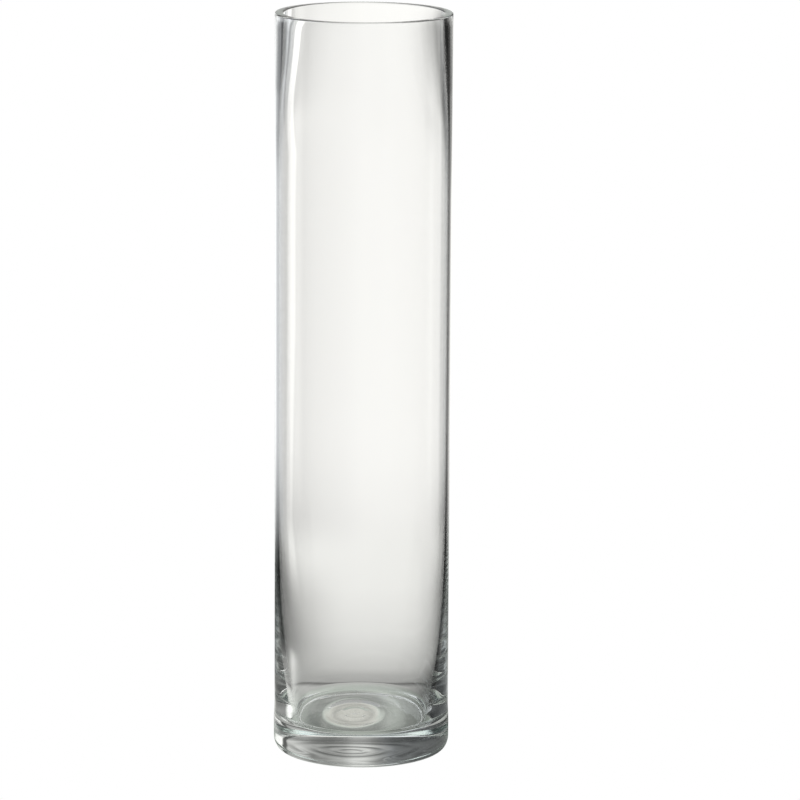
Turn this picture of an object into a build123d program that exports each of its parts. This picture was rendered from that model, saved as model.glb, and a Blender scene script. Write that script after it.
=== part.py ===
from build123d import *

import math
import os

# Glass cylinder vase, blown in one piece: a straight tall wall on a heavy base.
# Millimetres, +Z up, origin at the centre of the foot on the table top.

# Driving dimensions
HEIGHT = 404.0  # table top to the top of the rim
BODY_RADIUS = 47.5  # outside of the straight wall
FOOT_SWELL = 0.35  # how far the foot stands out past the straight wall
SWELL_LOW = 14.0  # the swell is full up to this height
SWELL_HIGH = 26.0  # and has gone by this height

# Foot and underside
HEEL_HEIGHT = 6.5  # the side starts to round under at this height
HEEL_WIDTH = 3.8  # and reaches the table this far in
CONTACT_WIDTH = 2.4  # flat ground ring that the vase stands on
PUNT_EDGE = 1.8  # radial width of the rise from the contact ring into the punt
PUNT_DEPTH = 0.8  # height of the hollow under the base at that edge
PUNT_CROWN = 0.1  # how much higher the hollow is at its centre

# Inside of the base
FLOOR_HEIGHT = 16.3  # inside floor above the table top
FLOOR_CROWN = 0.4  # the floor is this much lower at its centre
FLOOR_RADIUS = 33.5  # the nearly flat part of the floor
CORNER_TOP = 20.3  # height where the floor has turned up into the wall
CORNER_REACH = 2.2  # how far the corner's ends hold their direction

# Wall thickness: a thin middle, with the extra glass near the base and near the rim
THIN_WALL = 1.9  # thinnest wall, over the middle of the height
BASE_EXTRA = 15.0  # extra wall far below the base's middle height
BASE_MIDDLE = 20.0  # height where half of that extra is left
BASE_FADE = 25.0  # height over which it thins out
RIM_EXTRA = 3.0  # extra wall at the rim
RIM_MIDDLE = 36.0  # depth below the rim where half of that extra is left
RIM_FADE = 14.0  # height over which it thins out
RIM_ROUND = 0.7  # fire-polished rounding of both rim edges


def wall(height):
    """Thickness of the wall at a height."""
    base = BASE_EXTRA / (1 + math.exp((height - BASE_MIDDLE) / BASE_FADE))
    rim = RIM_EXTRA / (1 + math.exp((HEIGHT - height - RIM_MIDDLE) / RIM_FADE))
    return THIN_WALL + base + rim


def inner_point(height):
    """Point of the inside at a height."""
    return (BODY_RADIUS - wall(height), height)


def inner_direction(height):
    """Direction of the inside at a height, going up."""
    step = 0.05
    return (wall(height - step) - wall(height + step), 2 * step)


def floor_curve():
    """The inside floor, from the axis to where it turns up into the wall."""
    third = FLOOR_RADIUS / 3
    centre = (0, FLOOR_HEIGHT - FLOOR_CROWN)
    edge = (FLOOR_RADIUS, FLOOR_HEIGHT)
    return [Bezier(centre, (third, centre[1]), (2 * third, edge[1]), edge)]


def corner_curve():
    """The rounded corner between the floor and the wall."""
    start = (FLOOR_RADIUS, FLOOR_HEIGHT)
    end = inner_point(CORNER_TOP)
    direction = inner_direction(CORNER_TOP)
    lean = direction[0] / direction[1]
    leave = (FLOOR_RADIUS + CORNER_REACH, FLOOR_HEIGHT)
    arrive = (end[0] - lean * CORNER_REACH, CORNER_TOP - CORNER_REACH)
    return [Bezier(start, leave, arrive, end)]


def inside_curve():
    """The inside of the wall, from the corner's top to the rim's rounding."""
    top = HEIGHT - RIM_ROUND
    near_base = (25, 31, 38, 46, 55, 65, 77, 91, 108, 130, 160)
    below_rim = (150, 110, 85, 68, 56, 46, 37, 28, 19, 10)
    heights = [CORNER_TOP, *near_base, *(HEIGHT - depth for depth in below_rim), top]
    points = [inner_point(height) for height in heights]
    ends = (inner_direction(CORNER_TOP), inner_direction(top))
    return [Spline(*points, tangents=ends)]


def rim_curve():
    """The fire-polished top: inner rounding, crown, outer rounding."""
    inner_start = inner_point(HEIGHT - RIM_ROUND)
    inner_end = (inner_start[0] + RIM_ROUND, HEIGHT)
    outer_start = (BODY_RADIUS - RIM_ROUND, HEIGHT)
    outer_end = (BODY_RADIUS, HEIGHT - RIM_ROUND)
    return [
        RadiusArc(inner_start, inner_end, RIM_ROUND),
        Line(inner_end, outer_start),
        RadiusArc(outer_start, outer_end, RIM_ROUND),
    ]


def side_curve():
    """The outside: straight wall, foot swell, rounded heel, contact ring."""
    foot_radius = BODY_RADIUS + FOOT_SWELL
    third = (SWELL_HIGH - SWELL_LOW) / 3
    swell_top = (BODY_RADIUS, SWELL_HIGH)
    swell_bottom = (foot_radius, SWELL_LOW)
    ring_outer = (foot_radius - HEEL_WIDTH, 0)
    ring_inner = (ring_outer[0] - CONTACT_WIDTH, 0)
    heel_centre = (foot_radius - HEEL_WIDTH, HEEL_HEIGHT)
    return [
        Line((BODY_RADIUS, HEIGHT - RIM_ROUND), swell_top),
        Bezier(swell_top, (BODY_RADIUS, SWELL_HIGH - third), (foot_radius, SWELL_LOW + third), swell_bottom),
        Line(swell_bottom, (foot_radius, HEEL_HEIGHT)),
        EllipticalCenterArc(heel_centre, HEEL_WIDTH, HEEL_HEIGHT, start_angle=270, arc_size=90),
        Line(ring_outer, ring_inner),
    ]


def punt_curve():
    """The shallow hollow underneath, from the contact ring to the axis."""
    ring_inner = BODY_RADIUS + FOOT_SWELL - HEEL_WIDTH - CONTACT_WIDTH
    edge = (ring_inner - PUNT_EDGE, PUNT_DEPTH)
    centre = (0, PUNT_DEPTH + PUNT_CROWN)
    third = edge[0] / 3
    return [
        Line((ring_inner, 0), edge),
        Bezier(edge, (edge[0] - third, edge[1]), (third, centre[1]), centre),
    ]


def glass_vase():
    """The whole vase: its half section turned about the axis."""
    section = floor_curve() + corner_curve() + inside_curve() + rim_curve() + side_curve() + punt_curve()
    section.append(Line((0, PUNT_DEPTH + PUNT_CROWN), (0, FLOOR_HEIGHT - FLOOR_CROWN)))
    half = make_face(Wire(section))
    standing = Plane.XZ * half
    return revolve(standing, axis=Axis.Z)


os.makedirs("parts", exist_ok=True)
export_step(glass_vase(), "parts/glass_vase.step")
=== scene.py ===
import math

import bmesh
import bpy
import numpy as np
from mathutils import Matrix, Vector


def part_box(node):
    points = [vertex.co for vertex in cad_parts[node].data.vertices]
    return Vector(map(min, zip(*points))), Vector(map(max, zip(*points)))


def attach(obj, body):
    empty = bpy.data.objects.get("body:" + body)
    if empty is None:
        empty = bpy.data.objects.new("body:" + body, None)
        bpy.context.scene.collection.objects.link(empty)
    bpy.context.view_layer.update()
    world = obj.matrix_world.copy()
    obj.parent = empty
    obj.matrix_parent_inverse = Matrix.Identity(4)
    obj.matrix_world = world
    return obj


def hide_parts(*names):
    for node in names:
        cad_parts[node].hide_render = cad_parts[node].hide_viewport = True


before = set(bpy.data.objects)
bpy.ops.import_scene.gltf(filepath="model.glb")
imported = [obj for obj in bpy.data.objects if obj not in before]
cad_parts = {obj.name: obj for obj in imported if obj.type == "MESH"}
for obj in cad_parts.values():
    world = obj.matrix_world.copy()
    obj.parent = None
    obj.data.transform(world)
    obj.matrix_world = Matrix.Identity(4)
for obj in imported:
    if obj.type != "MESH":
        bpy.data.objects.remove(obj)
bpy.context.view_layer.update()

# Metres, +Z up. The vase's overall size comes from the frame, and the rest of its section from these.
MM = 0.001
FOOT_SWELL = 0.35 * MM
SWELL_LOW = 14 * MM
SWELL_HIGH = 26 * MM
HEEL_HEIGHT = 6.5 * MM
HEEL_WIDTH = 3.8 * MM
CONTACT_WIDTH = 2.4 * MM
PUNT_EDGE = 1.8 * MM
PUNT_DEPTH = 0.8 * MM
PUNT_CROWN = 0.1 * MM
FLOOR_HEIGHT = 16.3 * MM
FLOOR_CROWN = 0.4 * MM
FLOOR_RADIUS = 33.5 * MM
CORNER_TOP = 20.3 * MM
CORNER_REACH = 2.2 * MM
THIN_WALL = 1.9 * MM
BASE_EXTRA = 15.0 * MM
BASE_MIDDLE = 20 * MM
BASE_FADE = 25 * MM
RIM_EXTRA = 3.0 * MM
RIM_MIDDLE = 36 * MM
RIM_FADE = 14 * MM
RIM_ROUND = 0.7 * MM

low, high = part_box("glass_vase")
HEIGHT = high[2]
FOOT_RADIUS = high[0]
BODY_RADIUS = FOOT_RADIUS - FOOT_SWELL

# The mesh: segments round the axis, the closest that two points of the section may be, and the height
# up to which the inside has a point every millimetre.
SEGMENTS = 192
CLOSEST = 0.02 * MM
FINE_TOP = 110 * MM

# Marks of making. Drawn rings inside the lower wall: height, spacing and where they end.
RIDGE = 0.003 * MM
RIDGE_SPACING = 9 * MM
RIDGE_DRIFT = 11 * MM
RIDGE_RISE = 8 * MM
RIDGE_TOP = 95 * MM
# Rings in the inside floor and underneath, each as its radius, height and width. They are off centre.
RING_X = -3.4 * MM
RING_Y = 0.5 * MM
RING_STRETCH = 1.2
RING_FADE = 4 * MM
SWIRL = ((2.0 * MM, 0.1 * MM, 1.2 * MM), (7.2 * MM, 0.16 * MM, 1.4 * MM), (15.9 * MM, 0.2 * MM, 2.0 * MM),
         (26 * MM, 0.1 * MM, 1.6 * MM), (31 * MM, 0.1 * MM, 1.3 * MM))
MOULD = ((5 * MM, 0.1 * MM, 1.5 * MM), (12 * MM, 0.15 * MM, 1.9 * MM), (21 * MM, 0.16 * MM, 2.0 * MM),
         (30 * MM, 0.12 * MM, 2.0 * MM))
MOULD_RADIUS = 38 * MM
MOULD_ABOVE = 0.1 * MM

# The glass: slight waves drawn out along the axis, a pitted underside, and wear on the contact ring.
REFRACTIVE_INDEX = 1.51
ABSORBS = (0.88, 0.965, 0.94, 1)
ABSORPTION = 3
WAVE = 0.002 * MM
WAVE_SCALE = (120, 120, 9)
WAVE_DETAIL = 0.5
CAST = 0.02 * MM
CAST_SCALE = 150
CAST_DETAIL = 3
CAST_FADE = (2.0 * MM, 1.4 * MM)
WORN_FADE = (0.5 * MM, 0.1 * MM)
WORN_PATCHES = (0.4, 0.65)
WORN_ROUGHNESS = 0.3


def wall(z):
    base = BASE_EXTRA / (1 + np.exp((z - BASE_MIDDLE) / BASE_FADE))
    rim = RIM_EXTRA / (1 + np.exp((HEIGHT - z - RIM_MIDDLE) / RIM_FADE))
    return THIN_WALL + base + rim


def bezier(points, count):
    t = np.linspace(0, 1, count)[:, None]
    a, b, c, d = (np.array(p, float) for p in points)
    return a * (1 - t) ** 3 + 3 * b * t * (1 - t) ** 2 + 3 * c * t**2 * (1 - t) + d * t**3


def arc(centre, radius, start, stop, count):
    angle = np.radians(np.linspace(start, stop, count))
    return np.stack([centre[0] + radius * np.cos(angle), centre[1] + radius * np.sin(angle)], 1)


def joined(points, curves):
    """These points with the curves after them, without points that nearly coincide."""
    points = list(points)
    for curve in curves:
        for p in curve:
            if np.hypot(*(p - points[-1])) > CLOSEST:
                points.append(p)
    return points


def profile():
    """Half the section, from the middle of the floor over the rim to the middle of the underside, and the
    number of its points that belong to the inside."""
    floor = bezier(((0, FLOOR_HEIGHT - FLOOR_CROWN), (FLOOR_RADIUS / 3, FLOOR_HEIGHT - FLOOR_CROWN),
                    (FLOOR_RADIUS * 2 / 3, FLOOR_HEIGHT), (FLOOR_RADIUS, FLOOR_HEIGHT)), 60)
    corner_radius = BODY_RADIUS - wall(CORNER_TOP)
    step = 0.1 * MM
    lean = (wall(CORNER_TOP) - wall(CORNER_TOP + step)) / step
    corner = bezier(((FLOOR_RADIUS, FLOOR_HEIGHT), (FLOOR_RADIUS + CORNER_REACH, FLOOR_HEIGHT),
                     (corner_radius - lean * CORNER_REACH, CORNER_TOP - CORNER_REACH),
                     (corner_radius, CORNER_TOP)), 30)
    z = np.concatenate([np.arange(CORNER_TOP, FINE_TOP, MM), np.linspace(FINE_TOP, HEIGHT - RIM_ROUND, 90)])
    inside = np.stack([BODY_RADIUS - wall(z), z], 1)
    mouth = inside[-1, 0]
    inner_round = arc((mouth + RIM_ROUND, HEIGHT - RIM_ROUND), RIM_ROUND, 180, 90, 14)
    outer_round = arc((BODY_RADIUS - RIM_ROUND, HEIGHT - RIM_ROUND), RIM_ROUND, 90, 0, 14)
    side = np.stack([np.full(60, BODY_RADIUS), np.linspace(HEIGHT - RIM_ROUND, SWELL_HIGH, 60)], 1)
    third = (SWELL_HIGH - SWELL_LOW) / 3
    swell = bezier(((BODY_RADIUS, SWELL_HIGH), (BODY_RADIUS, SWELL_HIGH - third),
                    (FOOT_RADIUS, SWELL_LOW + third), (FOOT_RADIUS, SWELL_LOW)), 12)
    foot = np.stack([np.full(6, FOOT_RADIUS), np.linspace(SWELL_LOW, HEEL_HEIGHT, 6)], 1)
    heel = arc((0, HEEL_HEIGHT), HEEL_HEIGHT, 0, -90, 20)
    heel[:, 0] = FOOT_RADIUS - HEEL_WIDTH + heel[:, 0] * HEEL_WIDTH / HEEL_HEIGHT
    ring = FOOT_RADIUS - HEEL_WIDTH - CONTACT_WIDTH
    edge = ring - PUNT_EDGE
    contact = np.stack([np.linspace(ring + CONTACT_WIDTH, ring, 4), np.zeros(4)], 1)
    punt_edge = np.stack([np.linspace(ring, edge, 6), np.linspace(0, PUNT_DEPTH, 6)], 1)
    third = edge / 3
    punt = bezier(((edge, PUNT_DEPTH), (edge - third, PUNT_DEPTH), (third, PUNT_DEPTH + PUNT_CROWN),
                   (0, PUNT_DEPTH + PUNT_CROWN)), 70)
    cavity = joined([floor[0]], (floor, corner, inside))
    outside = (inner_round, outer_round, side, swell, foot, heel, contact, punt_edge, punt)
    return np.array(joined(cavity, outside)), len(cavity)


def ridges(z, angle):
    """Height of the drawn rings inside the lower wall."""
    drift = 0.35 * np.sin(angle + 1.0) + 0.2 * np.sin(2 * angle + 0.5) + 0.12 * np.sin(5 * angle)
    swing = np.sin(2 * math.pi * (z / RIDGE_SPACING + drift + 0.25 * np.sin(z / RIDGE_DRIFT)))
    rise = np.clip((z - CORNER_TOP) / RIDGE_RISE, 0, 1)
    fall = np.clip((RIDGE_TOP - z) / (RIDGE_TOP - CORNER_TOP), 0, 1)
    return RIDGE * swing * rise * fall**1.5


def ripples(x, y, rings):
    """Height of the rings left in the floor or the underside."""
    across = np.hypot(x - RING_X, (y - RING_Y) / RING_STRETCH)
    turn = np.arctan2(y - RING_Y, x - RING_X)
    lift = 0
    for radius, height, width in rings:
        where = radius * (1 + 0.04 * np.sin(turn + radius / MM))
        lift = lift + height * np.exp(-(((across - where) / width) ** 2))
    return lift * np.clip((FLOOR_RADIUS - np.hypot(x, y)) / RING_FADE, 0, 1)


def lathe(name, section, inner):
    """The section turned round the axis. Its first inner points are the inside and carry the marks."""
    angle = np.linspace(0, 2 * math.pi, SEGMENTS, endpoint=False)
    rings = section[1:-1]
    radius = np.repeat(rings[:, :1], SEGMENTS, 1)
    level = np.repeat(rings[:, 1:], SEGMENTS, 1)
    lower = level[:inner - 1]
    wall_part = lower > CORNER_TOP
    radius[:inner - 1] += np.where(wall_part, ridges(lower, angle[None, :]), 0)
    x, y = radius * np.cos(angle), radius * np.sin(angle)
    level[:inner - 1] += np.where(wall_part, 0, ripples(x[:inner - 1], y[:inner - 1], SWIRL))
    beneath = (level < PUNT_DEPTH + PUNT_CROWN + MOULD_ABOVE) & (radius < MOULD_RADIUS)
    level += np.where(beneath, ripples(x, y, MOULD), 0)
    grid = np.stack([x, y, level], 2)
    verts = [(0, 0, section[0, 1])] + grid.reshape(-1, 3).tolist() + [(0, 0, section[-1, 1])]
    faces = []
    last = len(verts) - 1
    for s in range(SEGMENTS):
        t = (s + 1) % SEGMENTS
        faces.append((0, 1 + s, 1 + t))
        for k in range(len(rings) - 1):
            a = 1 + k * SEGMENTS
            b = a + SEGMENTS
            faces.append((a + s, b + s, b + t, a + t))
        a = 1 + (len(rings) - 1) * SEGMENTS
        faces.append((a + s, last, a + t))
    mesh = bpy.data.meshes.new(name)
    mesh.from_pydata(verts, [], faces)
    bm = bmesh.new()
    bm.from_mesh(mesh)
    bmesh.ops.recalc_face_normals(bm, faces=bm.faces)
    bm.to_mesh(mesh)
    bm.free()
    mesh.polygons.foreach_set("use_smooth", [True] * len(mesh.polygons))
    ob = bpy.data.objects.new(name, mesh)
    bpy.context.scene.collection.objects.link(ob)
    return ob


def node(tree, kind, **values):
    n = tree.nodes.new(kind)
    for k, v in values.items():
        setattr(n, k, v)
    return n


def put(tree, socket, value):
    if isinstance(value, bpy.types.NodeSocket):
        tree.links.new(value, socket)
    else:
        socket.default_value = value


def calc(tree, operation, *values):
    n = node(tree, "ShaderNodeMath", operation=operation)
    for s, v in zip(n.inputs, values):
        put(tree, s, v)
    return n.outputs[0]


def parts(tree, vector):
    """The x, y and z of a vector."""
    n = node(tree, "ShaderNodeSeparateXYZ")
    tree.links.new(vector, n.inputs[0])
    return n.outputs


def as_seen(tree, vector):
    """A vector in the camera's own axes."""
    n = node(tree, "ShaderNodeVectorTransform", vector_type="VECTOR")
    n.convert_from = "WORLD"
    n.convert_to = "CAMERA"
    tree.links.new(vector, n.inputs[0])
    return n.outputs[0]


def length(tree, x, y):
    return calc(tree, "SQRT", calc(tree, "ADD", calc(tree, "MULTIPLY", x, x), calc(tree, "MULTIPLY", y, y)))


def fade(tree, value, start, stop):
    """0 to 1 as the value goes from start to stop."""
    n = node(tree, "ShaderNodeMapRange", interpolation_type="SMOOTHSTEP")
    put(tree, n.inputs["Value"], value)
    n.inputs["From Min"].default_value = start
    n.inputs["From Max"].default_value = stop
    return n.outputs["Result"]


def blend(tree, factor, a, b, how="MIX"):
    n = node(tree, "ShaderNodeMix", data_type="RGBA", blend_type=how)
    put(tree, n.inputs["Factor"], factor)
    for s, v in ((n.inputs[6], a), (n.inputs[7], b)):
        if isinstance(v, (int, float)):
            v = (v, v, v, 1)
        put(tree, s, v)
    return n.outputs[2]


def shaded(tree, light, shading, amount=1.0):
    """The light times the shading, or part of the way there."""
    full = blend(tree, 1.0, light, shading, "MULTIPLY")
    return full if amount == 1.0 else blend(tree, amount, light, full)


def ramp(tree, value, low, high, stops):
    """Grey levels along a value that runs from low to high."""
    n = node(tree, "ShaderNodeValToRGB")
    put(tree, n.inputs[0], calc(tree, "DIVIDE", calc(tree, "SUBTRACT", value, low), high - low))
    e = n.color_ramp.elements
    e.remove(e[1])
    e[0].position = (stops[0][0] - low) / (high - low)
    e[0].color = (stops[0][1],) * 3 + (1,)
    for at, grey in stops[1:]:
        e.new((at - low) / (high - low)).color = (grey, grey, grey, 1)
    return n.outputs["Color"]


def noise(tree, place, scale, detail):
    n = node(tree, "ShaderNodeTexNoise")
    n.inputs["Scale"].default_value = scale
    n.inputs["Detail"].default_value = detail
    tree.links.new(place, n.inputs["Vector"])
    return n.outputs["Fac"]


def bump(tree, height, distance):
    n = node(tree, "ShaderNodeBump")
    n.inputs["Distance"].default_value = distance
    tree.links.new(height, n.inputs["Height"])
    return n


def glass():
    """Clear glass, finely pitted underneath and worn where it stands."""
    mat = bpy.data.materials.new("clear_glass")
    mat.use_nodes = True
    t = mat.node_tree
    p = t.nodes["Principled BSDF"]
    p.inputs["Base Color"].default_value = (1, 1, 1, 1)
    p.inputs["IOR"].default_value = REFRACTIVE_INDEX
    p.inputs["Transmission Weight"].default_value = 1.0
    place = node(t, "ShaderNodeNewGeometry").outputs["Position"]
    z = parts(t, place)[2]
    drawn_out = node(t, "ShaderNodeVectorMath", operation="MULTIPLY")
    t.links.new(place, drawn_out.inputs[0])
    drawn_out.inputs[1].default_value = WAVE_SCALE
    waves = bump(t, noise(t, drawn_out.outputs[0], 1.0, WAVE_DETAIL), WAVE)
    pits = noise(t, place, CAST_SCALE, CAST_DETAIL)
    cast = bump(t, pits, CAST)
    t.links.new(fade(t, z, *CAST_FADE), cast.inputs["Strength"])
    t.links.new(waves.outputs[0], cast.inputs["Normal"])
    t.links.new(cast.outputs[0], p.inputs["Normal"])
    worn = calc(t, "MULTIPLY", fade(t, z, *WORN_FADE), fade(t, pits, *WORN_PATCHES))
    t.links.new(calc(t, "MULTIPLY", worn, WORN_ROUGHNESS), p.inputs["Roughness"])
    tint = node(t, "ShaderNodeVolumeAbsorption")
    tint.inputs["Color"].default_value = ABSORBS
    tint.inputs["Density"].default_value = ABSORPTION
    t.links.new(tint.outputs[0], t.nodes["Material Output"].inputs["Volume"])
    return mat


vase = lathe("vase_glass", *profile())
vase.data.materials.append(glass())
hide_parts("glass_vase")
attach(vase, "root")

# The studio. Lights are grey levels in stops: by compass angle in degrees to the right of straight ahead,
# or by height above the horizon in degrees. The stops are rounded from grey levels that were
# measured in the photo and followed through the glass to the direction they come from, so they are fitted
# to that photo. The camera carries them round. PITCH is how far it looks down, in radians.
PITCH = 0.2076
ROUND = (-180, 180)
FAR = ((-180, 0.4), (-112, 0.2), (-96, 0.04), (-60, 0.05), (-38, 0.1), (-35, 0.35), (-28, 0.33), (-22, 0.3),
       (-19, 0.5), (-16, 1.0), (-12, 0.95), (-4, 0.97), (0, 1.04), (2, 1.08), (3.3, 1.03), (4.2, 0.88),
       (5.5, 0.8), (6.8, 0.82), (8, 0.8), (9.5, 0.66), (11, 0.5), (15, 0.4), (18, 0.43), (20, 0.45),
       (22, 0.2), (26, 0.03), (55, 0.02), (58, 1.2), (78, 1.2), (88, 0.15), (180, 0.4))
NEAR = ((-180, 0.4), (-112, 0.2), (-96, 0.06), (-60, 0.1), (-35, 0.45), (-27, 0.65), (-20, 0.75),
        (-16, 1.15), (-13, 1.25), (-11, 1.05), (-9, 0.95), (-4, 0.94), (-2, 0.98), (0, 1.06), (3.2, 1.1),
        (4.2, 0.96), (5.5, 0.9), (6.7, 0.97), (8, 1.07), (10, 1.0), (13, 0.93), (16, 0.62), (19, 0.32),
        (24, 0.15), (28, 0.18), (34, 0.04), (55, 0.04), (58, 1.2), (78, 1.2), (88, 0.15), (180, 0.4))
LOW = ((-180, 0.4), (-100, 0.1), (-40, 0.1), (-30, 0.25), (-22, 0.1), (-18, 0.1), (-13, 0.85), (-9, 0.8),
       (-4, 0.76), (-2, 0.84), (0, 0.96), (3.5, 0.98), (5, 0.9), (6.2, 0.8), (7, 0.75), (9, 0.66),
       (11, 0.52), (15, 0.33), (18, 0.12), (22, 0.02), (100, 0.1), (180, 0.4))
ABOVE = ((-180, 0.5), (-164, 0.5), (-158, 0.2), (-90, 0.1), (-57, 0.09), (-27, 0.12), (-17, 0.16),
         (-8, 0.36), (-2, 0.66), (3, 0.66), (8, 0.42), (16, 0.3), (24, 0.37), (34, 0.58), (46, 0.58),
         (49, 0.08), (54, 0.06), (57, 1.3), (75, 1.4), (85, 0.3), (158, 0.2), (164, 0.5), (180, 0.5))
ABOVE_BY_RISE = ((0, 1.0), (9, 0.55), (12, 0.9), (15, 1.15), (18, 0.8), (22, 0.4), (30, 0.6))
TOP_BY_RISE = ((52, 1.0), (60, 0.35), (75, 0.42))
FAR_FADE = (-9, -5.5)
LOW_FADE = (-12.2, -14.8)
ABOVE_FADE = (-1, 6)
TOP_FADE = (33.5, 38)
# Near straight ahead, the light above sets in 4 degrees higher than at the sides.
AHEAD_FADE = (30, 22)
AHEAD_SHIFT = -4.0

# Shading on the backdrop that sets in with height: its angles, its stops and where it sets in.
SHOULDER = ((-40, 40), ((9, 1.0), (10.5, 0.8), (14, 0.6), (18, 0.85), (21, 1.2), (26, 1.0)), (0.21, 0.25))
CROWN = ((-40, 40), ((-32, 1.0), (-26, 1.5), (-19, 1.5), (-13, 1.0), (-10, 0.9), (-8.5, 0.95), (-6.2, 0.8),
                     (-4.5, 0.9), (-2.5, 0.98), (0, 1.0), (3, 1.0), (4.5, 1.12), (6, 1.0), (7.5, 0.75),
                     (9, 0.65), (11.5, 0.57), (14, 0.8), (17, 0.95), (24, 1.5), (28, 1.0)), (0.285, 0.322))
RIM_EDGE = ((-45, 45), ((-40, 1.0), (-33, 0.8), (-29, 0.6), (-25, 0.55), (-17, 0.6), (-12, 0.85), (-5, 1.0),
                        (5, 0.85), (10, 0.75), (18, 0.6), (24, 0.3), (34, 0.3), (42, 1.0)), (0.342, 0.354))

# The upright strip of light at the left. It leans and widens above the height STRIP_BEND, and leans again
# from STRIP_FOOT degrees below the horizon down. A band of painted shade runs beside it near the top.
STRIP_TURN = -5.45
STRIP_BEND = 0.252
STRIP_LEAN = -37.0
STRIP_FOOT = 11.0
STRIP_FOOT_LEAN = 0.33
STRIP_WIDEN = 3.0
STRIP_EDGE = (1.25, 0.8)
STRIP_LIGHT = 0.14
STRIP_BRIGHTEN = 2.5
STRIP_MORE = 0.1
STRIP_MORE_FADE = (-15, -10.5)
STRIP_FADE = (-22, -14)
DARK_GAP = 2.2
DARK_LEAN = 30.0
DARK_EDGE = (1.7, 0.3)
DARK_FADE = (0.26, 0.34)
DARKEST = 0.42

WARM = (1.0, 0.995, 0.965, 1)
COOL = (0.955, 0.98, 1.0, 1)
COOL_FADE = (-6, -16)


def compass(t, direction):
    """The angle to the right of straight ahead and the angle above the horizon, in degrees."""
    seen = parts(t, as_seen(t, direction))
    up = parts(t, direction)[2]
    forward = calc(t, "ADD", seen[2], calc(t, "MULTIPLY", up, math.sin(PITCH)))
    forward = calc(t, "DIVIDE", forward, math.cos(PITCH))
    turn = calc(t, "DEGREES", calc(t, "ARCTAN2", seen[0], forward))
    return turn, calc(t, "DEGREES", calc(t, "ARCSINE", up))


def add_strip(t, light, turn, rise, level):
    upper = calc(t, "MAXIMUM", calc(t, "SUBTRACT", level, STRIP_BEND), 0.0)
    lower = calc(t, "MINIMUM", calc(t, "ADD", rise, STRIP_FOOT), 0.0)
    middle = calc(t, "MULTIPLY_ADD", lower, STRIP_FOOT_LEAN, STRIP_TURN)
    middle = calc(t, "MULTIPLY_ADD", upper, STRIP_LEAN, middle)
    beside = calc(t, "ABSOLUTE", calc(t, "SUBTRACT", turn, middle))
    beside = calc(t, "SUBTRACT", beside, calc(t, "MULTIPLY", upper, STRIP_WIDEN))
    strong = calc(t, "MULTIPLY_ADD", upper, STRIP_BRIGHTEN, STRIP_LIGHT)
    strong = calc(t, "MULTIPLY_ADD", fade(t, rise, *STRIP_MORE_FADE), STRIP_MORE, strong)
    strip = calc(t, "MULTIPLY", fade(t, beside, *STRIP_EDGE), strong)
    strip = calc(t, "MULTIPLY", strip, fade(t, rise, *STRIP_FADE))
    light = blend(t, 1.0, light, strip, "ADD")
    dark = calc(t, "SUBTRACT", middle, calc(t, "MULTIPLY_ADD", upper, DARK_LEAN, DARK_GAP))
    dark = fade(t, calc(t, "ABSOLUTE", calc(t, "SUBTRACT", turn, dark)), *DARK_EDGE)
    dark = calc(t, "MULTIPLY", dark, calc(t, "MULTIPLY", fade(t, level, *DARK_FADE), DARKEST))
    return shaded(t, light, calc(t, "SUBTRACT", 1.0, dark))


def round_light():
    """Lights round the vase, by direction and, on the backdrop, by height. They turn with the camera."""
    t = bpy.data.node_groups.new("round_light", "ShaderNodeTree")
    t.interface.new_socket("Direction", in_out="INPUT", socket_type="NodeSocketVector")
    t.interface.new_socket("Level", in_out="INPUT", socket_type="NodeSocketFloat")
    t.interface.new_socket("Light", in_out="OUTPUT", socket_type="NodeSocketColor")
    direction, level = node(t, "NodeGroupInput").outputs[:2]
    turn, rise = compass(t, direction)
    near = ramp(t, turn, *ROUND, NEAR)
    light = blend(t, fade(t, rise, *FAR_FADE), near, ramp(t, turn, *ROUND, FAR))
    light = blend(t, fade(t, rise, *LOW_FADE), light, ramp(t, turn, *ROUND, LOW))
    for angles, stops, sets_in in (SHOULDER, CROWN, RIM_EDGE):
        light = shaded(t, light, ramp(t, turn, *angles, stops), fade(t, level, *sets_in))
    light = add_strip(t, light, turn, rise, level)
    above = shaded(t, ramp(t, turn, *ROUND, ABOVE), ramp(t, rise, 0, 90, ABOVE_BY_RISE))
    ahead = fade(t, calc(t, "ABSOLUTE", turn), *AHEAD_FADE)
    over = calc(t, "MULTIPLY_ADD", ahead, AHEAD_SHIFT, rise)
    light = blend(t, fade(t, over, *ABOVE_FADE), light, above)
    light = blend(t, fade(t, rise, *TOP_FADE), light, ramp(t, rise, 0, 90, TOP_BY_RISE))
    light = shaded(t, light, blend(t, fade(t, turn, *COOL_FADE), WARM, COOL))
    t.links.new(light, node(t, "NodeGroupOutput").inputs[0])
    return t


ROUND_LIGHT = round_light()


def studio():
    world = bpy.data.worlds.new("studio")
    bpy.context.scene.world = world
    world.use_nodes = True
    t = world.node_tree
    t.nodes.clear()
    coords = node(t, "ShaderNodeTexCoord")
    group = node(t, "ShaderNodeGroup", node_tree=ROUND_LIGHT)
    t.links.new(coords.outputs["Generated"], group.inputs[0])
    path = node(t, "ShaderNodeLightPath")
    back = node(t, "ShaderNodeBackground")
    t.links.new(blend(t, path.outputs["Is Camera Ray"], group.outputs[0], 1.0), back.inputs["Color"])
    out = node(t, "ShaderNodeOutputWorld")
    t.links.new(back.outputs[0], out.inputs["Surface"])


studio()

TABLE_RADIUS = 0.55
BACKDROP_HEIGHT = 0.6
STAGE_SEGMENTS = 96
STAGE_DROP = 0.1 * MM


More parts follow.
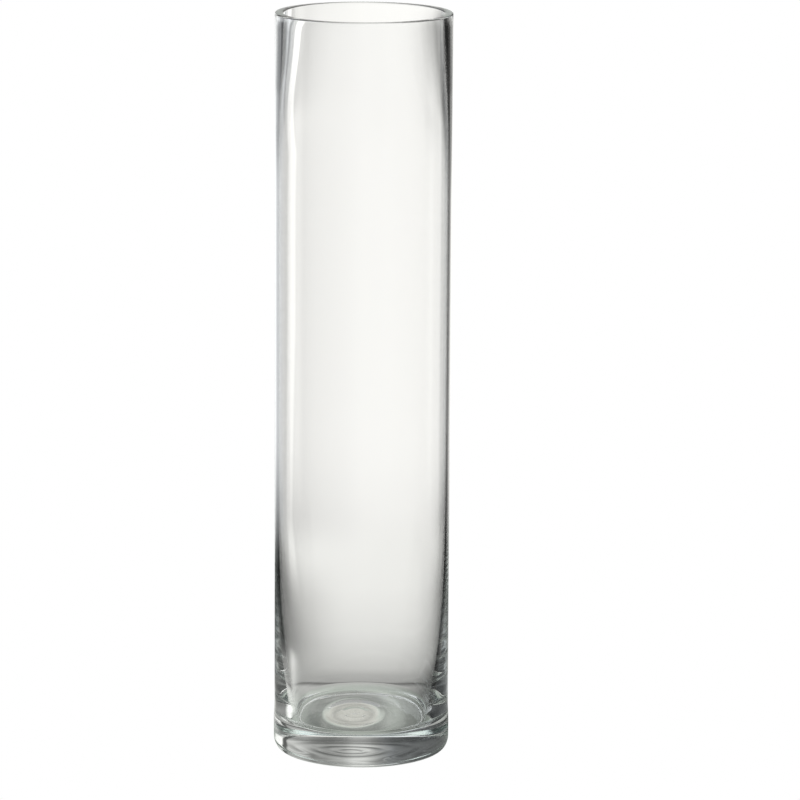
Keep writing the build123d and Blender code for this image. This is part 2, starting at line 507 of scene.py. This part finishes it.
def stage_piece(name, bm):
    """A piece of the studio. Returns its node tree, its place and the lights it shows."""
    mesh = bpy.data.meshes.new(name)
    bm.to_mesh(mesh)
    bm.free()
    ob = bpy.data.objects.new(name, mesh)
    bpy.context.scene.collection.objects.link(ob)
    ob.location.z = -STAGE_DROP
    mat = bpy.data.materials.new(name)
    mat.use_nodes = True
    mesh.materials.append(mat)
    t = mat.node_tree
    t.nodes.clear()
    geo = node(t, "ShaderNodeNewGeometry")
    group = node(t, "ShaderNodeGroup", node_tree=ROUND_LIGHT)
    away = node(t, "ShaderNodeVectorMath", operation="SCALE")
    t.links.new(geo.outputs["Incoming"], away.inputs[0])
    away.inputs["Scale"].default_value = -1
    t.links.new(away.outputs[0], group.inputs[0])
    return t, geo.outputs["Position"], group


def glow(t, light, plain):
    """Emission of this light, and for the camera itself the plain shader."""
    emission = node(t, "ShaderNodeEmission")
    t.links.new(light, emission.inputs["Color"])
    mix = node(t, "ShaderNodeMixShader")
    t.links.new(node(t, "ShaderNodeLightPath").outputs["Is Camera Ray"], mix.inputs[0])
    t.links.new(emission.outputs[0], mix.inputs[1])
    t.links.new(node(t, plain).outputs[0], mix.inputs[2])
    t.links.new(mix.outputs[0], node(t, "ShaderNodeOutputMaterial").inputs["Surface"])


def backdrop():
    """A wall round the table that glows with the studio's lights and their painted shading. The camera sees
    through it.
    """
    bm = bmesh.new()
    bmesh.ops.create_cone(bm, radius1=TABLE_RADIUS, radius2=TABLE_RADIUS, depth=BACKDROP_HEIGHT,
                          segments=STAGE_SEGMENTS)
    bmesh.ops.translate(bm, verts=bm.verts, vec=(0, 0, BACKDROP_HEIGHT / 2))
    t, place, lights = stage_piece("backdrop", bm)
    t.links.new(parts(t, place)[2], lights.inputs[1])
    glow(t, lights.outputs[0], "ShaderNodeBsdfTransparent")


# Painted light and shade on the table top, fitted in the same way. x is to the right and y away from the
# camera, in metres from the vase's axis. UNDER is the painted light along y below the vase, and AROUND the
# painted light by distance from the axis, darker near the vase as a painted shadow of it, with a dark ring.
UNDER = ((-0.06, 0.35), (-0.02, 0.5), (0, 0.6), (0.025, 0.78), (0.045, 0.7))
AROUND = ((0.046, 0.62), (0.055, 0.5), (0.0792, 0.52), (0.0803, 0.12), (0.0822, 0.14), (0.0832, 0.4),
          (0.095, 0.46), (0.11, 0.6), (0.14, 0.73), (0.18, 0.82), (0.22, 0.87), (0.3, 0.93), (0.54, 0.98))
UNDER_EDGE = (0.046, 0.05)
UNDER_MIDDLE = (0.03, 0.005)
UNDER_SIDE = 0.5
UNDER_MORE = 0.55
# A lit lane runs back from the vase and widens. It is even in front of the vase and shaded at the left.
LANE_NEAR = 0.05
LANE_FAR = 0.1
LANE_SHIFT_NEAR = -0.035
LANE_SHIFT_FAR = 0.007
LANE_HALF = 0.075
LANE_WIDEN = 0.65
LANE_SOFT = 0.017
FRONT_FADE = (-0.09, -0.03)
FRONT_LIGHT = 0.4
SHADE = -0.16
SHADE_LEFT = (-0.01, -0.05)
SHADE_START = (0.1, 0.15)
SHADE_STOP = (0.4, 0.25)
# The oval pool of light under the vase, with its grey levels from its middle out; 1 is its edge.
POOL_LEFT = 0.0049
POOL_BACK = 0.0105
POOL_HALF_WIDTH = 0.0165
POOL_HALF_DEPTH = 0.0215
POOL = ((0, 0.62), (0.4, 0.62), (0.5, 0.56), (0.68, 0.41), (0.8, 0.56), (0.93, 0.69), (1.0, 0.62),
        (1.12, 0.22), (1.5, 0.17), (2.0, 0.3))
POOL_RIGHT = (0.008, 0.02)
POOL_RIGHT_MORE = 0.24
POOL_FADE = (2.0, 1.4)
# Two pale streaks of painted light: one beside the vase at the left, and one that runs back on a slant.
STREAK_LEFT = 0.068
STREAK_WIDTH = 0.009
STREAK_START = (-0.01, 0.02)
STREAK_STOP = (0.125, 0.095)
STREAK_LIGHT = 0.55
SLANT_LEFT = 0.035
SLANT = 0.115
SLANT_EDGE = (0.011, 0.006)
SLANT_START = (0.2, 0.5)
SLANT_LIGHT = 0.25
TABLE_HUE = (1.0, 1.0, 0.965, 1)
UNDER_HUE = (0.915, 1.0, 0.9, 1)
POOL_HUE = (1.0, 1.0, 0.9, 1)
UNDER_HUE_EDGE = (0.08, 0.05)
POOL_HUE_EDGE = (1.05, 0.85)
TABLE_FADE = (0.4, 0.54)


def under_and_around(t, x, y, reach):
    """The painted light below the vase, and round it by distance, darker near the vase as a painted shadow.
    """
    middle = fade(t, calc(t, "ABSOLUTE", x), *UNDER_MIDDLE)
    middle = calc(t, "MULTIPLY_ADD", middle, UNDER_MORE, UNDER_SIDE)
    under = shaded(t, ramp(t, y, -0.06, 0.06, UNDER), middle)
    return blend(t, fade(t, reach, *UNDER_EDGE), under, ramp(t, reach, 0, 0.6, AROUND))


def lane(t, x, y):
    """The share of the light that is left: all of it in the lane, and less outside it."""
    shift = node(t, "ShaderNodeMapRange")
    put(t, shift.inputs["Value"], y)
    shift.inputs["From Min"].default_value = LANE_NEAR
    shift.inputs["From Max"].default_value = LANE_FAR
    shift.inputs["To Min"].default_value = LANE_SHIFT_NEAR
    shift.inputs["To Max"].default_value = LANE_SHIFT_FAR
    across = calc(t, "ABSOLUTE", calc(t, "SUBTRACT", x, shift.outputs["Result"]))
    past = calc(t, "MAXIMUM", calc(t, "SUBTRACT", y, LANE_FAR), 0.0)
    half = calc(t, "MULTIPLY", calc(t, "MULTIPLY", past, past), LANE_WIDEN)
    half = calc(t, "ADD", half, LANE_HALF)
    edge = calc(t, "EXPONENT", calc(t, "DIVIDE", calc(t, "SUBTRACT", across, half), LANE_SOFT))
    side = calc(t, "DIVIDE", 1.0, calc(t, "ADD", edge, 1.0))
    side = blend(t, fade(t, y, *FRONT_FADE), FRONT_LIGHT, side)
    shade = calc(t, "MULTIPLY", fade(t, y, *SHADE_START), fade(t, y, *SHADE_STOP))
    shade = calc(t, "MULTIPLY", fade(t, x, *SHADE_LEFT), shade)
    return calc(t, "MULTIPLY", side, calc(t, "MULTIPLY_ADD", shade, SHADE, 1.0))


def add_pool(t, light, x, y):
    """The light with the pool in it, and the distance from the pool's middle."""
    right = calc(t, "DIVIDE", calc(t, "ADD", x, POOL_LEFT), POOL_HALF_WIDTH)
    back = calc(t, "DIVIDE", calc(t, "SUBTRACT", y, POOL_BACK), POOL_HALF_DEPTH)
    out = length(t, right, back)
    rings = ramp(t, out, 0, 2, POOL)
    rings = calc(t, "MULTIPLY_ADD", fade(t, x, *POOL_RIGHT), POOL_RIGHT_MORE, rings)
    return blend(t, fade(t, out, *POOL_FADE), light, rings), out


def add_streaks(t, light, x, y):
    # Two streaks of painted light on the table.
    beside = calc(t, "DIVIDE", calc(t, "ADD", x, STREAK_LEFT), STREAK_WIDTH)
    streak = calc(t, "EXPONENT", calc(t, "MULTIPLY", calc(t, "MULTIPLY", beside, beside), -1.0))
    extent = calc(t, "MULTIPLY", fade(t, y, *STREAK_START), fade(t, y, *STREAK_STOP))
    light = calc(t, "ADD", light, calc(t, "MULTIPLY", calc(t, "MULTIPLY", streak, extent), STREAK_LIGHT))
    beside = calc(t, "ADD", x, calc(t, "MULTIPLY_ADD", y, SLANT, SLANT_LEFT))
    slant = calc(t, "MULTIPLY", fade(t, calc(t, "ABSOLUTE", beside), *SLANT_EDGE), fade(t, y, *SLANT_START))
    return calc(t, "ADD", light, calc(t, "MULTIPLY", slant, SLANT_LIGHT))


def table():
    """A table top that glows with painted light and shade. The camera sees it white."""
    bm = bmesh.new()
    bmesh.ops.create_circle(bm, cap_ends=True, radius=TABLE_RADIUS, segments=STAGE_SEGMENTS)
    t, place, lights = stage_piece("table", bm)
    seen = parts(t, as_seen(t, place))
    x = seen[0]
    y = calc(t, "DIVIDE", seen[2], math.cos(PITCH))
    reach = length(t, x, y)
    light = calc(t, "MULTIPLY", under_and_around(t, x, y, reach), lane(t, x, y))
    light, out = add_pool(t, light, x, y)
    light = add_streaks(t, light, x, y)
    hue = blend(t, fade(t, reach, *UNDER_HUE_EDGE), TABLE_HUE, UNDER_HUE)
    hue = blend(t, fade(t, out, *POOL_HUE_EDGE), hue, POOL_HUE)
    light = shaded(t, light, hue)
    glow(t, blend(t, fade(t, reach, *TABLE_FADE), light, lights.outputs[0]), "ShaderNodeEmission")


table()
backdrop()

# The camera, fitted to the outline of the vase in the photo.
CAMERA_DISTANCE = 2.4125
CAMERA_HEIGHT = 0.7017
LENS = 205.15
SENSOR = 36
YAW = 0.00841
ROLL = 0.00603
BOUNCES = 128


def camera():
    data = bpy.data.cameras.new("camera")
    cam = bpy.data.objects.new("camera", data)
    bpy.context.scene.collection.objects.link(cam)
    bpy.context.scene.camera = cam
    data.sensor_width = SENSOR
    data.lens = LENS
    data.clip_end = 100
    turn = Matrix.Rotation(-YAW, 4, "Z") @ Matrix.Rotation(math.radians(90) - PITCH, 4, "X")
    place = Matrix.Translation((0, -CAMERA_DISTANCE, CAMERA_HEIGHT))
    cam.matrix_world = place @ turn @ Matrix.Rotation(ROLL, 4, "Z")


camera()
scene = bpy.context.scene
scene.view_settings.view_transform = "Standard"
scene.cycles.max_bounces = BOUNCES
scene.cycles.transmission_bounces = BOUNCES
scene.cycles.glossy_bounces = BOUNCES
